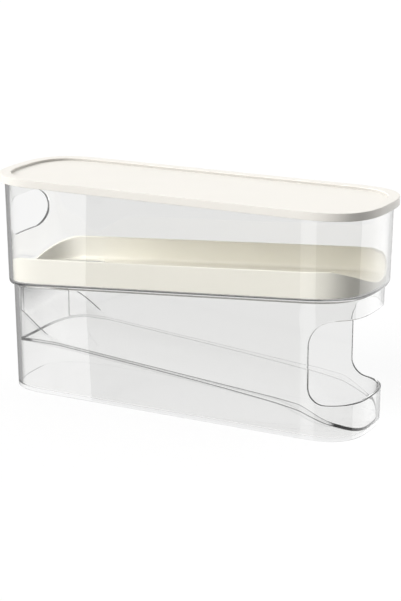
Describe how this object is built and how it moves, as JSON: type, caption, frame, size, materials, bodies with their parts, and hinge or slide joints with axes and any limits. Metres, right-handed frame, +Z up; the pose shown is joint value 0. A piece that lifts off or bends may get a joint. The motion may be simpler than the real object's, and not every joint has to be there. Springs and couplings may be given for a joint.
{
  "type": "roll-out egg dispenser",
  "caption": "Tiered clear egg dispenser: under a flat white lid a sloping tray feeds a curved scoop and a roll-out ramp that ends in an open pocket.",
  "frame": {"origin": "middle of the flat base, on the surface that the dispenser stands on", "axes": "+X along the length towards the dispensing pocket, +Z up, +Y to the far side in the picture"},
  "size_m": [0.3, 0.0974, 0.1634],
  "materials": {
    "clear_plastic": "clear gloss moulded plastic",
    "clear_plastic_inner": "clear gloss moulded plastic",
    "white_tray": "warm white satin moulded plastic",
    "white_lid": "warm white fine matt moulded plastic"
  },
  "bodies": {
    "body": {"clear_body": "clear_plastic", "roll_out_ramp": "clear_plastic_inner", "drop_scoop": "clear_plastic_inner"},
    "tray": {"sloping_tray": "white_tray"},
    "lid_cap": {"lid": "white_lid"}
  },
  "joints": [
    {"name": "lid_lift", "type": "slide", "parent": "body", "child": "lid_cap", "axis": [0, 0, 1], "range_m": [0, 0.16]},
    {"name": "tray_lift", "type": "slide", "parent": "body", "child": "tray", "axis": [0, 0, 1], "range_m": [0, 0.096]}
  ],
  "couplings": [
    {"joint": "tray_lift", "follows": "lid_lift", "ratio": 0.6}
  ]
}
